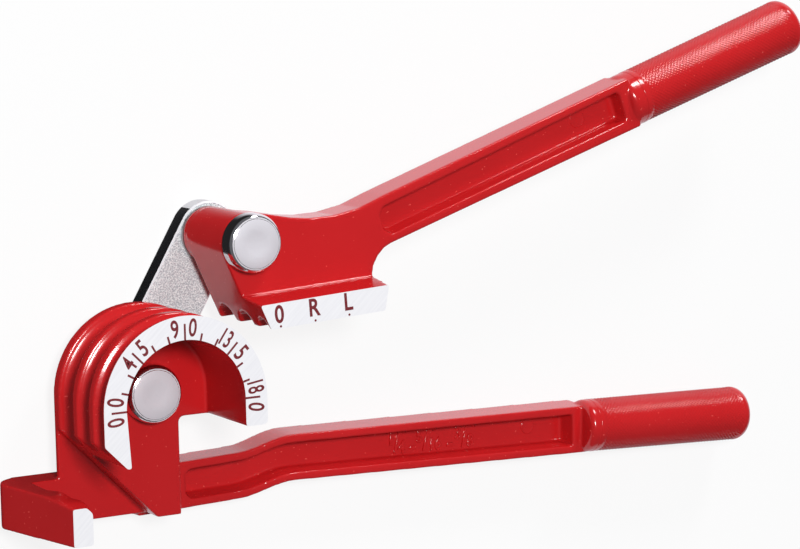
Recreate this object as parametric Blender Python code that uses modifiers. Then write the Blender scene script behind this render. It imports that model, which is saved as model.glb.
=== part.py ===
"""Hand tube bender for three tube sizes: two die-cast handles, a steel link and two rivets.

The tool lies on its back. The origin is on the die pivot's axis, in the plane of the bench.
+Z points out of the machined faces, +X along the lower handle towards its grip.
"""
import math

import bmesh
import bpy
from mathutils import Matrix, Vector

for old_object in list(bpy.data.objects):
    bpy.data.objects.remove(old_object, do_unlink=True)

# Driving dimensions, in metres
DIE_RADIUS = 0.0254
TOOL_DEPTH = 0.0448
PIVOT_DISTANCE = 0.0503
LOWER_REACH = 0.2213
UPPER_REACH = 0.2083
TUBE_DIAMETERS = (0.00635, 0.00794, 0.00953)

# Clearances
GAP = 0.0003
TUBE_CLEARANCE = 0.0001
OVERRUN = 0.002

# Angles, in degrees
LINK_REST_ANGLE = 59.3
SHOE_REST_ANGLE = 3.5
ARM_ANGLE = 15.2
BAR_DROOP = 1.75

# How finely round shapes are divided
DIE_STEPS = 40
ROUND_STEPS = 40
GROOVE_STEPS = 20
CORNER_STEPS = 4
NOSE_STEPS = 13

# Digits after the point, in metres, that a new solid's points are rounded to
SNAP_DIGITS = 7

# Points of a turned solid or a Boolean closer than this are one point
WELD_DISTANCE = 0.000003

# The stack behind the die, from the bench up
TAIL_THICKNESS = 0.0005
LINK_THICKNESS = 0.0066
WASHER_THICKNESS = 0.0008
LINK_BACK = TAIL_THICKNESS + GAP
LINK_FRONT = LINK_BACK + LINK_THICKNESS
WASHER_BACK = LINK_FRONT + GAP
WASHER_FRONT = WASHER_BACK + WASHER_THICKNESS
CASTING_BACK = WASHER_FRONT + GAP

# Grooves, counted back from the machined face
FLANGE_WIDTH = 0.0010
FIRST_LAND = 0.0033
SECOND_LAND = 0.0032
SHOE_BACK_LAND = 0.0014

# Lower casting: the die
RING_WIDTH = 0.0069
LIMB_LENGTH = 0.0082
LIMB_CORNER = 0.0012
LEFT_LIMB_LENGTH = 0.0094
RING_TIP_INSET = 0.0010
WEB_THICKNESS = 0.0104
LEG_RIGHT = 0.0094
LEG_BOTTOM = 0.0372
LEG_FOOT_LEFT = 0.0017
LEG_FILLET = 0.0016

# Lower casting: the hook and the layer that carries it
BASE_THICKNESS = 0.0108
HOOK_TOP = 0.0240
HOOK_OUTER_BACK = 0.0420
HOOK_OUTER_FRONT = 0.0354
HOOK_CORNER = 0.0085
HOOK_INNER_DEEP = 0.0338
HOOK_INNER_MIDDLE = 0.0314
HOOK_INNER_TIP = 0.0297
HOOK_TIP_DROP = 0.0019
HOOK_TIP_CHAMFER = 0.0034
HOOK_TIP_BOTTOM_RISE = 0.0009
HOOK_CHAMFER_REACH = 0.0140
HOOK_STEP_RUN = 0.0025

# Lower casting: the bar and its grip
BAR_ROOT_THICKNESS = 0.0094
BAR_THICKNESS = 0.0109
BAR_ROOT_MIDDLE = 0.0312
BAR_ROOT_RISE = 0.0008
BAR_ROOT_HEIGHT = 0.0140
BAR_MIDDLE = 0.0267
BAR_HEIGHT = 0.0142
BAR_END_HEIGHT = 0.0152
BAR_BACK_SPREAD = 0.0006
KNEE_START = 0.0340
KNEE_END = 0.0520
KNEE_STEPS = 8
LOWER_GRIP_LENGTH = 0.0648
GRIP_RISE = 0.0009
GRIP_DROOP = 2.3
GRIP_BACK_LEVEL = 0.0002
LOWER_GRIP_RADII = (0.0085, 0.0089)
UPPER_GRIP_RADII = (0.0087, 0.0091)
GRIP_END_ROUND = 0.0034
GRIP_COLLAR_ROUND = 0.0020

# Pockets in both handles
BAR_POCKET_DEPTH = 0.0060
BAR_POCKET_DRAFT = 0.0014
BAR_POCKET_RIM = 0.0021
BAR_POCKET_CORNER = 0.0016
BACK_POCKET_DEPTH = 0.0026
ARM_POCKET_DEPTH = 0.0050
ARM_POCKET_DRAFT = 0.0012
ARM_POCKET_TOP_RIM = 0.0021
ARM_POCKET_BOTTOM_RIM = 0.0031
ARM_POCKET_START_CORNER = 0.0020
ARM_POCKET_END_CORNER = 0.0010
LOWER_POCKET_START = 0.0152
LOWER_POCKET_END_WALL = 0.0030
UPPER_POCKET_END_WALL = 0.0042

# Upper casting: the head and the shoe, measured from the lever pivot
HEAD_THICKNESS_ABOVE_ARM = 0.0130
ARM_BACK = 0.0217
NOSE_RADIUS = 0.0085
SHOE_LEFT = 0.0001
SHOE_LENGTH = 0.0378
SHOE_END_LEAN = 0.0018
SHOE_HEIGHT = 0.0072
LEDGE_RISE = 0.00175
HEAD_BLOCK_HEIGHT = 0.0120
HEAD_BLOCK_LENGTH = 0.0185
HEAD_BLOCK_TOP = 0.0038
HEAD_BLOCK_FOOT = 0.0360
SHOE_GAP_TO_DIE = 0.0004
HEAD_TOP_POINTS = (
    (0.0062, 0.0074), (0.0147, 0.0052), (0.0212, 0.0042), (0.0289, 0.0040),
    (0.0374, 0.0051), (0.0461, 0.0078), (0.0587, 0.0113),
)
ARM_ROOT_POINTS = (
    (0.0473, -0.0068), (0.0449, -0.0078), (0.0423, -0.0101), (0.0407, -0.0127), (0.0400, -0.01555),
)
ARM_HEIGHT = 0.0147
ARM_END_HEIGHT = 0.01575
ARM_SHIFT = -0.0002
ARM_END_SHIFT = 0.0006
ARM_AXIS_OFFSET = 0.0124
UPPER_GRIP_LENGTH = 0.0706
UPPER_GRIP_RISE = 0.0005
UPPER_POCKET_START = 0.0425

# Link
LINK_HALF_WIDTH = 0.0095
LINK_SHIFT = 0.0006
LINK_EDGE_BREAK = 0.0005

# Rivets and washers
RIVET_SHANK_RADIUS = 0.0050
RIVET_HEAD_RADIUS = 0.00865
RIVET_HEAD_HEIGHT = 0.0051
RIVET_FACE_RADIUS = 0.00725
RIVET_EDGE_DROP = 0.0022
RIVET_TAIL_RADIUS = 0.0070
WASHER_RADIUS = 0.0084

# Levels that follow from the sizes above
GROOVE_RADII = tuple(diameter / 2 + TUBE_CLEARANCE for diameter in TUBE_DIAMETERS)
GROOVE_1 = TOOL_DEPTH - FLANGE_WIDTH - GROOVE_RADII[0]
GROOVE_2 = GROOVE_1 - GROOVE_RADII[0] - FIRST_LAND - GROOVE_RADII[1]
GROOVE_3 = GROOVE_2 - GROOVE_RADII[1] - SECOND_LAND - GROOVE_RADII[2]
GROOVE_LEVELS = (GROOVE_1, GROOVE_2, GROOVE_3)
SHOE_BACK = GROOVE_3 - GROOVE_RADII[2] - SHOE_BACK_LAND
WEB_FRONT = CASTING_BACK + WEB_THICKNESS
RING_INNER = DIE_RADIUS - RING_WIDTH
PLATE_FRONT = ARM_BACK + HEAD_THICKNESS_ABOVE_ARM
ARM_MIDDLE = (ARM_BACK + PLATE_FRONT) / 2
SHOE_LINE = PIVOT_DISTANCE - DIE_RADIUS - SHOE_GAP_TO_DIE
HOLE_RADIUS = RIVET_SHANK_RADIUS + GAP
BAR_END = LOWER_REACH - LOWER_GRIP_LENGTH
ARM_END = UPPER_REACH - UPPER_GRIP_LENGTH + GRIP_COLLAR_ROUND
LEVER_PIVOT = Vector((
    PIVOT_DISTANCE * math.cos(math.radians(LINK_REST_ANGLE)),
    PIVOT_DISTANCE * math.sin(math.radians(LINK_REST_ANGLE)),
    0,
))


def make_collection(name):
    """A collection in the scene."""
    collection = bpy.data.collections.new(name)
    bpy.context.scene.collection.children.link(collection)
    return collection


PARTS = make_collection("tube_bender")
CUTTERS = make_collection("cutters")


def make_material(name, colour, roughness, metallic):
    """A plain painted or metal material."""
    material = bpy.data.materials.new(name)
    material.use_nodes = True
    shader = material.node_tree.nodes["Principled BSDF"]
    shader.inputs["Base Color"].default_value = (*colour, 1.0)
    shader.inputs["Roughness"].default_value = roughness
    shader.inputs["Metallic"].default_value = metallic
    return material


def arc(centre, radius, start, end, steps):
    """Points on an arc from one angle to another, in degrees, ends included."""
    points = []
    for step in range(steps + 1):
        angle = math.radians(start + (end - start) * step / steps)
        points.append((centre[0] + radius * math.cos(angle), centre[1] + radius * math.sin(angle)))
    return points


def as_mesh_object(name, source):
    """The evaluated shape of an object as a new welded mesh object; the source is removed."""
    bpy.context.view_layer.update()
    graph = bpy.context.evaluated_depsgraph_get()
    mesh = bpy.data.meshes.new_from_object(source.evaluated_get(graph))
    mesh.name = name
    mesh.transform(source.matrix_world)
    cleaner = bmesh.new()
    cleaner.from_mesh(mesh)
    bmesh.ops.remove_doubles(cleaner, verts=cleaner.verts, dist=WELD_DISTANCE)
    bmesh.ops.recalc_face_normals(cleaner, faces=cleaner.faces)
    cleaner.to_mesh(mesh)
    cleaner.free()
    result = bpy.data.objects.new(name, mesh)
    CUTTERS.objects.link(result)
    bpy.data.objects.remove(source, do_unlink=True)
    return result


def snap(solid):
    """Round a new solid's points, so that faces meant to share a plane do."""
    for vertex in solid.data.vertices:
        vertex.co = [round(value, SNAP_DIGITS) for value in vertex.co]
    return solid


def prism(name, outline, low, high, turn=None):
    """A flat outline drawn as a 2D curve and extruded from one level to another."""
    curve = bpy.data.curves.new(name, "CURVE")
    curve.dimensions = "2D"
    curve.fill_mode = "BOTH"
    curve.extrude = (high - low) / 2
    spline = curve.splines.new("POLY")
    spline.points.add(len(outline) - 1)
    for point, place in zip(spline.points, outline):
        point.co = (place[0], place[1], 0, 1)
    spline.use_cyclic_u = True
    drawn = bpy.data.objects.new(name, curve)
    CUTTERS.objects.link(drawn)
    drawn.location = (0, 0, (high + low) / 2)
    if turn is not None:
        drawn.matrix_world = turn @ Matrix.Translation((0, 0, (high + low) / 2))
    return snap(as_mesh_object(name, drawn))


def loft(name, rings):
    """A closed solid through rings of points, for sections that differ."""
    shape = bmesh.new()
    rows = [[shape.verts.new(point) for point in ring] for ring in rings]
    count = len(rows[0])
    for lower, upper in zip(rows, rows[1:]):
        for index in range(count):
            following = (index + 1) % count
            shape.faces.new((lower[index], lower[following], upper[following], upper[index]))
    shape.faces.new(rows[0])
    shape.faces.new(rows[-1])
    bmesh.ops.recalc_face_normals(shape, faces=shape.faces)
    mesh = bpy.data.meshes.new(name)
    shape.to_mesh(mesh)
    shape.free()
    solid = bpy.data.objects.new(name, mesh)
    CUTTERS.objects.link(solid)
    return snap(solid)


def turned(name, profile, matrix=None):
    """A turned solid; the profile of radius and height runs from top to bottom."""
    mesh = bpy.data.meshes.new(name)
    places = [(radius, 0, height) for radius, height in profile]
    edges = [(index, index + 1) for index in range(len(places) - 1)]
    mesh.from_pydata(places, edges, [])
    drawn = bpy.data.objects.new(name, mesh)
    CUTTERS.objects.link(drawn)
    screw = drawn.modifiers.new("turn", "SCREW")
    screw.steps = ROUND_STEPS
    screw.render_steps = ROUND_STEPS
    screw.use_merge_vertices = True
    screw.merge_threshold = WELD_DISTANCE
    if matrix is not None:
        drawn.matrix_world = matrix
    return as_mesh_object(name, drawn)


def rod(name, radius, start, end, steps=ROUND_STEPS):
    """A plain cylinder between two points."""
    start = Vector(start)
    end = Vector(end)
    bpy.ops.mesh.primitive_cylinder_add(vertices=steps, radius=radius, depth=(end - start).length)
    made = bpy.context.object
    made.name = name
    made.matrix_world = (
        Matrix.Translation((start + end) / 2) @ (end - start).to_track_quat("Z", "Y").to_matrix().to_4x4()
    )
    for owner in list(made.users_collection):
        owner.objects.unlink(made)
    CUTTERS.objects.link(made)
    return made


def groove_path(name, radius, level):
    """One groove's cutter: up the die's left side, round its top and down its right limb."""
    stations = [(Vector((-DIE_RADIUS, -LEFT_LIMB_LENGTH - OVERRUN * 2)), Vector((-1, 0)))]
    for x, y in arc((0, 0), DIE_RADIUS, 180, 0, DIE_STEPS):
        stations.append((Vector((x, y)), Vector((x, y)).normalized()))
    stations.append((Vector((DIE_RADIUS, -LIMB_LENGTH - OVERRUN)), Vector((1, 0))))
    rings = []
    for place, outward in stations:
        ring = []
        for across, up in arc((0, level), radius, 0, 360, GROOVE_STEPS)[:-1]:
            point = place + outward * across
            ring.append((point.x, point.y, up))
        rings.append(ring)
    return loft(name, rings)


def combine(target, tool, operation):
    """One exact Boolean, kept as a mesh; the tool is removed."""
    step = target.modifiers.new("step", "BOOLEAN")
    step.object = tool
    step.operation = operation
    step.solver = "EXACT"
    name = target.name
    target.name = name + "_before"
    result = as_mesh_object(name, target)
    bpy.data.objects.remove(tool, do_unlink=True)
    return result


def join(target, *tools):
    """Fuse solids."""
    for tool in tools:
        target = combine(target, tool, "UNION")
    return target


def cut(target, *tools):
    """Take solids away."""
    for tool in tools:
        target = combine(target, tool, "DIFFERENCE")
    return target


def finish(solid, name, material, matrix=None):
    """Name a solid, colour it, shade it, place it and put it with the parts."""
    solid.name = name
    solid.data.name = name
    solid.data.materials.clear()
    solid.data.materials.append(material)
    solid.data.shade_smooth()
    solid.data.set_sharp_from_angle(angle=math.radians(30))
    CUTTERS.objects.unlink(solid)
    PARTS.objects.link(solid)
    if matrix is not None:
        solid.matrix_world = matrix
    return solid


def smooth_step(share):
    """Rises from 0 to 1 without a corner at either end."""
    share = min(max(share, 0.0), 1.0)
    return share * share * (3 - 2 * share)


def grip(name, start, direction_angle, axis_level, length, radii):
    """A tapered handle with a rounded collar and a rounded end, lying in a horizontal plane."""
    start_radius, end_radius = radii
    profile = [(0, length)]
    for across, along in arc((0, 0), GRIP_END_ROUND, 90, 0, CORNER_STEPS):
        profile.append((end_radius - GRIP_END_ROUND + across, length - GRIP_END_ROUND + along))
    for across, along in arc((0, 0), GRIP_COLLAR_ROUND, 0, -90, CORNER_STEPS):
        profile.append((start_radius - GRIP_COLLAR_ROUND + across, GRIP_COLLAR_ROUND + along))
    profile.append((0, 0))
    direction = Vector((math.cos(direction_angle), math.sin(direction_angle), 0))
    turn = direction.to_track_quat("Z", "Y").to_matrix().to_4x4()
    return turned(name, profile, Matrix.Translation((start[0], start[1], axis_level)) @ turn)


# The die: a horseshoe, its web, and the leg below it
def chamfer_line(x):
    """Height of the slanted left side of the die and leg at a given x."""
    run = LEG_FOOT_LEFT + DIE_RADIUS
    fall = LEG_BOTTOM - LEFT_LIMB_LENGTH
    return -LEFT_LIMB_LENGTH - (x + DIE_RADIUS) * fall / run


def ring_tip():
    """The lowest point of the ring's left limb, on the slanted line."""
    place = -RING_INNER + RING_TIP_INSET - LIMB_CORNER
    return (place, chamfer_line(place))


def die_ring():
    """The ring that carries the scale and the grooves."""
    tip = -RING_INNER + RING_TIP_INSET
    outline = [(-DIE_RADIUS, chamfer_line(-DIE_RADIUS))]
    outline += arc((0, 0), DIE_RADIUS, 180, 0, DIE_STEPS)
    outline += arc((DIE_RADIUS - LIMB_CORNER, -LIMB_LENGTH + LIMB_CORNER), LIMB_CORNER, 0, -90, CORNER_STEPS)
    outline.append((RING_INNER, -LIMB_LENGTH))
    outline += arc((0, 0), RING_INNER, 0, 180, DIE_STEPS)
    outline.append((tip, chamfer_line(tip) + LIMB_CORNER))
    outline.append(ring_tip())
    return prism("ring", outline, CASTING_BACK, TOOL_DEPTH)


def web_and_leg():
    """The web inside the ring and the leg that carries it on down."""
    middle = (DIE_RADIUS + RING_INNER) / 2
    outline = [ring_tip()]
    outline += arc((0, 0), middle, 180, 0, DIE_STEPS)
    outline.append((middle, -LIMB_LENGTH + LIMB_CORNER))
    outline.append((RING_INNER + LIMB_CORNER, -LIMB_LENGTH))
    corner = (LEG_RIGHT + LEG_FILLET, -LIMB_LENGTH - LEG_FILLET)
    outline += arc(corner, LEG_FILLET, 90, 180, CORNER_STEPS)
    outline.append((LEG_RIGHT, -LEG_BOTTOM))
    outline.append((LEG_FOOT_LEFT, -LEG_BOTTOM))
    return prism("web", outline, CASTING_BACK, WEB_FRONT)


def back_plate():
    """The thin plate between the slanted wall and the hook."""
    outline = [
        (-DIE_RADIUS, chamfer_line(-DIE_RADIUS) + LIMB_CORNER),
        (-DIE_RADIUS, -HOOK_TOP - LIMB_CORNER),
        (0, -HOOK_TOP - LIMB_CORNER),
        (0, chamfer_line(-DIE_RADIUS) + LIMB_CORNER),
    ]
    return prism("plate", outline, CASTING_BACK, BASE_THICKNESS)


def base_layer():
    """The thick layer behind the leg, which carries the hook on the left."""
    outline = [
        (-HOOK_INNER_DEEP - HOOK_STEP_RUN, -LEG_BOTTOM),
        (LEG_RIGHT, -LEG_BOTTOM),
        (LEG_RIGHT, -HOOK_TOP),
        (-HOOK_INNER_DEEP - HOOK_STEP_RUN, -HOOK_TOP),
    ]
    return prism("base", outline, 0, BASE_THICKNESS)


def hook_wall():
    """The wall that stands up from the base and holds the tube against the die."""
    corner = (-HOOK_OUTER_BACK + HOOK_CORNER, HOOK_CORNER)
    outline = [(-HOOK_INNER_DEEP + HOOK_STEP_RUN, 0)]
    outline += arc(corner, HOOK_CORNER, 270, 180, CORNER_STEPS * 2)
    outline += [
        (-HOOK_OUTER_FRONT, TOOL_DEPTH),
        (-HOOK_INNER_TIP, TOOL_DEPTH),
        (-HOOK_INNER_TIP, GROOVE_1 - GROOVE_RADII[0]),
        (-HOOK_INNER_MIDDLE, GROOVE_2 + GROOVE_RADII[1]),
        (-HOOK_INNER_MIDDLE, GROOVE_2 - GROOVE_RADII[1]),
        (-HOOK_INNER_DEEP, GROOVE_3 + GROOVE_RADII[2]),
        (-HOOK_INNER_DEEP, BASE_THICKNESS / 2),
        (-HOOK_INNER_DEEP + HOOK_STEP_RUN, BASE_THICKNESS / 2),
    ]
    upright = Matrix.Rotation(math.radians(90), 4, "X")
    wall = prism("hook", outline, HOOK_TOP, LEG_BOTTOM, upright)
    sections = []
    for level, drop in ((TOOL_DEPTH + OVERRUN, 1.0), (TOOL_DEPTH - HOOK_CHAMFER_REACH, 0.0)):
        top = -HOOK_TOP - HOOK_TIP_DROP * drop
        chamfer = HOOK_TIP_CHAMFER * drop
        flat_end = -HOOK_INNER_TIP - chamfer
        sections.append([
            (-HOOK_OUTER_BACK - OVERRUN, top, level),
            (flat_end, top, level),
            (flat_end + HOOK_TIP_CHAMFER + OVERRUN, top - chamfer - OVERRUN * drop, level),
            (flat_end + HOOK_TIP_CHAMFER + OVERRUN, -HOOK_TOP + OVERRUN, level),
            (-HOOK_OUTER_BACK - OVERRUN, -HOOK_TOP + OVERRUN, level),
        ])
    under = []
    for level, rise in ((TOOL_DEPTH + OVERRUN, HOOK_TIP_BOTTOM_RISE), (HOOK_CORNER, 0)):
        under.append([
            (-HOOK_OUTER_BACK - OVERRUN, -LEG_BOTTOM + rise, level),
            (0, -LEG_BOTTOM + rise, level),
            (0, -LEG_BOTTOM - OVERRUN, level),
            (-HOOK_OUTER_BACK - OVERRUN, -LEG_BOTTOM - OVERRUN, level),
        ])
    return cut(wall, loft("hook_top", sections), loft("hook_bottom", under))


def bar_middle(x):
    """Height of the bar's centre line at a given x."""
    root = -BAR_ROOT_MIDDLE + BAR_ROOT_RISE * (x - LEG_RIGHT) / (KNEE_START - LEG_RIGHT)
    beyond = -BAR_MIDDLE - (x - KNEE_END) * math.tan(math.radians(BAR_DROOP))
    share = smooth_step((x - KNEE_START) / (KNEE_END - KNEE_START))
    return root * (1 - share) + beyond * share


def bar_height(x):
    """Height of the bar from edge to edge at a given x."""
    if x < KNEE_END:
        share = smooth_step((x - LEG_RIGHT) / (KNEE_END - LEG_RIGHT))
        return BAR_ROOT_HEIGHT + (BAR_HEIGHT - BAR_ROOT_HEIGHT) * share
    return BAR_HEIGHT + (BAR_END_HEIGHT - BAR_HEIGHT) * (x - KNEE_END) / (BAR_END - KNEE_END)


def bar_stations(start, end):
    """Places along the bar, close together in the knee."""
    knee = [KNEE_START + (KNEE_END - KNEE_START) * step / KNEE_STEPS for step in range(KNEE_STEPS + 1)]
    return [start] + [x for x in knee if start < x < end] + [end]


def bar_outline(start, end, rim):
    """The bar's outline, drawn in by the rim on both edges."""
    stations = bar_stations(start, end)
    top = [(x, bar_middle(x) + bar_height(x) / 2 - rim) for x in stations]
    bottom = [(x, bar_middle(x) - bar_height(x) / 2 + rim) for x in reversed(stations)]
    return top + bottom


def bar_front(x):
    """Level of the bar's front face, which steps forward in the knee."""
    share = smooth_step((x - KNEE_START) / (KNEE_END - KNEE_START))
    return BAR_ROOT_THICKNESS + (BAR_THICKNESS - BAR_ROOT_THICKNESS) * share


def lower_bar():
    """The bar from the leg to the grip, with pockets front and back."""
    start = 0
    end = BAR_END + GRIP_COLLAR_ROUND
    rings = []
    for x in bar_stations(start, end):
        top = bar_middle(x) + bar_height(x) / 2
        bottom = bar_middle(x) - bar_height(x) / 2
        rings.append([
            (x, bottom - BAR_BACK_SPREAD, 0),
            (x, top + BAR_BACK_SPREAD, 0),
            (x, top, bar_front(x)),
            (x, bottom, bar_front(x)),
        ])
    bar = loft("bar", rings)
    pocket_end = BAR_END - LOWER_POCKET_END_WALL
    front = [bar_pocket_ring(LOWER_POCKET_START, pocket_end, 0, OVERRUN)]
    front.append(bar_pocket_ring(LOWER_POCKET_START, pocket_end, BAR_POCKET_DRAFT, -BAR_POCKET_DEPTH))
    back_start = KNEE_END
    back = [
        bar_pocket_ring(back_start, pocket_end, 0, -OVERRUN, from_back=True),
        bar_pocket_ring(back_start, pocket_end, BAR_POCKET_DRAFT, BACK_POCKET_DEPTH, from_back=True),
    ]
    return cut(bar, loft("pocket", front), loft("back_pocket", back))


def bar_pocket_ring(start, end, inset, rise, from_back=False):
    """One ring of a pocket that follows the bar; inset draws it in on all sides."""
    ring = []
    first = start + inset
    outline = bar_outline(first + BAR_POCKET_CORNER, end - inset, BAR_POCKET_RIM + inset)
    outline.insert(0, (first, outline[0][1] - BAR_POCKET_CORNER))
    outline.append((first, outline[-1][1] + BAR_POCKET_CORNER))
    for x, y in outline:
        level = rise if from_back else bar_front(x) + rise
        ring.append((x, y, level))
    return ring


def lower_casting(material):
    """Die, leg, hook, bar and grip, cast in one piece."""
    body = join(die_ring(), web_and_leg(), base_layer(), back_plate(), hook_wall(), lower_bar())
    grip_start = (BAR_END, bar_middle(BAR_END) + GRIP_RISE)
    grip_angle = -math.radians(GRIP_DROOP)
    level = LOWER_GRIP_RADII[1] + GRIP_BACK_LEVEL
    body = join(body, grip("lower_grip", grip_start, grip_angle, level, LOWER_GRIP_LENGTH, LOWER_GRIP_RADII))
    for radius, level in zip(GROOVE_RADII, GROOVE_LEVELS):
        body = cut(body, groove_path("die_groove", radius, level))
    body = cut(body, rod("pivot_hole", HOLE_RADIUS, (0, 0, 0), (0, 0, TOOL_DEPTH)))
    return finish(body, "lower_casting", material)


# The upper casting, drawn about the lever pivot with its shoe along X
def nose_tangent():
    """Where the slanted left side of the head leaves the nose, and its direction."""
    foot = Vector((SHOE_LEFT, -SHOE_LINE))
    distance = foot.length
    swing = math.acos(NOSE_RADIUS / distance)
    angle = math.atan2(foot.y, foot.x) - swing
    return Vector((NOSE_RADIUS * math.cos(angle), NOSE_RADIUS * math.sin(angle))), angle


def head_outline():
    """The outline of the head and arm in plan."""
    tangent, angle = nose_tangent()
    end_middle = arm_axis(ARM_END)
    normal = Vector((-math.sin(math.radians(ARM_ANGLE)), math.cos(math.radians(ARM_ANGLE))))
    outline = [(SHOE_LEFT, -SHOE_LINE)]
    outline += arc((0, 0), NOSE_RADIUS, math.degrees(angle) + 360, 90, NOSE_STEPS)
    outline += HEAD_TOP_POINTS
    outline.append(tuple(end_middle + normal * (ARM_END_SHIFT + ARM_END_HEIGHT / 2)))
    outline.append(tuple(end_middle + normal * (ARM_END_SHIFT - ARM_END_HEIGHT / 2)))
    outline += ARM_ROOT_POINTS
    outline.append((SHOE_LENGTH + SHOE_END_LEAN, -SHOE_LINE + SHOE_HEIGHT))
    outline.append((SHOE_LENGTH, -SHOE_LINE))
    return outline


def arm_axis(along):
    """A point on the arm's centre line, by its distance along the arm."""
    direction = Vector((math.cos(math.radians(ARM_ANGLE)), math.sin(math.radians(ARM_ANGLE))))
    normal = Vector((-direction.y, direction.x))
    return direction * along - normal * ARM_AXIS_OFFSET


def shoe_band():
    """The full depth of the shoe, with the sloping ledge that meets the plate."""
    top = -SHOE_LINE + SHOE_HEIGHT
    profile = [
        (-SHOE_LINE, SHOE_BACK),
        (top + LEDGE_RISE + LEDGE_RISE, SHOE_BACK),
        (top + LEDGE_RISE + LEDGE_RISE, PLATE_FRONT - LEDGE_RISE),
        (top + LEDGE_RISE, PLATE_FRONT),
        (top, TOOL_DEPTH),
        (-SHOE_LINE, TOOL_DEPTH),
    ]
    rings = []
    for place in (-NOSE_RADIUS - OVERRUN, SHOE_LENGTH + SHOE_END_LEAN * 2):
        rings.append([(place, y, z) for y, z in profile])
    band = loft("shoe_band", rings)
    tangent, angle = nose_tangent()
    lean = SHOE_END_LEAN / SHOE_HEIGHT
    keep = [
        (SHOE_LEFT, -SHOE_LINE),
        tuple(tangent),
        (tangent.x, 0),
        (SHOE_LENGTH + SHOE_LINE * lean, 0),
        (SHOE_LENGTH, -SHOE_LINE),
    ]
    return combine(band, prism("shoe_keep", keep, 0, TOOL_DEPTH + OVERRUN), "INTERSECT")


def head_block():
    """The deep part of the head around the pivot and above the shoe's left end."""
    tangent, angle = nose_tangent()
    outline = [(SHOE_LEFT, -SHOE_LINE)]
    outline += arc((0, 0), NOSE_RADIUS, math.degrees(angle) + 360, 90, NOSE_STEPS)
    outline += [
        (HEAD_BLOCK_LENGTH, HEAD_BLOCK_TOP),
        (HEAD_BLOCK_LENGTH, -SHOE_LINE + HEAD_BLOCK_HEIGHT),
        (HEAD_BLOCK_FOOT, -SHOE_LINE + HEAD_BLOCK_HEIGHT),
        (SHOE_LENGTH, -SHOE_LINE),
    ]
    return prism("head_block", outline, SHOE_BACK, PLATE_FRONT)


def arm_pocket_ring(start, end, inset, level):
    """One ring of a pocket that follows the arm."""
    direction = Vector((math.cos(math.radians(ARM_ANGLE)), math.sin(math.radians(ARM_ANGLE))))
    normal = Vector((-direction.y, direction.x))
    ring = []
    for along, side in ((start, 1), (end, 1), (end, -1), (start, -1)):
        share = (along - UPPER_POCKET_START) / (ARM_END - UPPER_POCKET_START)
        rim = ARM_POCKET_TOP_RIM if side == 1 else ARM_POCKET_BOTTOM_RIM
        corner = ARM_POCKET_START_CORNER if along == start else ARM_POCKET_END_CORNER
        half = (ARM_HEIGHT + (ARM_END_HEIGHT - ARM_HEIGHT) * share) / 2 - rim - inset
        centre = arm_axis(along - inset if along == end else along + inset)
        centre += normal * (ARM_SHIFT + (ARM_END_SHIFT - ARM_SHIFT) * share)
        corner_along = direction * corner * (1 if along == start else -1)
        first = centre + normal * side * (half - corner)
        second = centre + normal * side * half + corner_along
        pair = (first, second) if (along == start) == (side == 1) else (second, first)
        ring += [(place.x, place.y, level) for place in pair]
    return ring


def upper_casting(material, matrix):
    """Shoe, head, arm and grip, cast in one piece."""
    head = prism("head", head_outline(), ARM_BACK, PLATE_FRONT)
    pad = turned("pad", [
        (0, ARM_BACK - OVERRUN),
        (WASHER_RADIUS, ARM_BACK - OVERRUN),
        (WASHER_RADIUS, CASTING_BACK),
        (0, CASTING_BACK),
    ])
    body = join(head, head_block(), shoe_band(), pad)
    grip_start = arm_axis(ARM_END - GRIP_COLLAR_ROUND) + Vector((0, UPPER_GRIP_RISE))
    angle = math.radians(ARM_ANGLE)
    body = join(body, grip("upper_grip", grip_start, angle, ARM_MIDDLE, UPPER_GRIP_LENGTH, UPPER_GRIP_RADII))
    pocket_start = UPPER_POCKET_START
    pocket_end = ARM_END - UPPER_POCKET_END_WALL
    for face, floor in ((PLATE_FRONT + OVERRUN, PLATE_FRONT - ARM_POCKET_DEPTH),
                        (ARM_BACK - OVERRUN, ARM_BACK + ARM_POCKET_DEPTH)):
        rings = [
            arm_pocket_ring(pocket_start, pocket_end, 0, face),
            arm_pocket_ring(pocket_start, pocket_end, ARM_POCKET_DRAFT, floor),
        ]
        body = cut(body, loft("arm_pocket", rings))
    for radius, level in zip(GROOVE_RADII, GROOVE_LEVELS):
        start_point = (-NOSE_RADIUS - OVERRUN, -SHOE_LINE, level)
        end_point = (SHOE_LENGTH + SHOE_END_LEAN * 2 + OVERRUN, -SHOE_LINE, level)
        body = cut(body, rod("shoe_groove", radius, start_point, end_point, GROOVE_STEPS))
    body = cut(body, rod("lever_hole", HOLE_RADIUS, (0, 0, 0), (0, 0, TOOL_DEPTH)))
    return finish(body, "upper_casting", material, matrix)


def link_plate(material, matrix):
    """The flat steel link, with its front edge broken all round."""
    rings = []
    levels = (
        (LINK_BACK, 0),
        (LINK_FRONT - LINK_EDGE_BREAK, 0),
        (LINK_FRONT, LINK_EDGE_BREAK),
    )
    for level, inset in levels:
        radius = LINK_HALF_WIDTH - inset
        outline = arc((0, -LINK_SHIFT), radius, 90, 270, ROUND_STEPS // 2)
        outline += arc((PIVOT_DISTANCE + LINK_SHIFT, -LINK_SHIFT), radius, -90, 90, ROUND_STEPS // 2)
        rings.append([(x, y, level) for x, y in outline])
    link = loft("link", rings)
    for place in (0, PIVOT_DISTANCE):
        link = cut(link, rod("link_hole", HOLE_RADIUS, (place, 0, 0), (place, 0, TOOL_DEPTH)))
    return finish(link, "link_plate", material, matrix)


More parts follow.
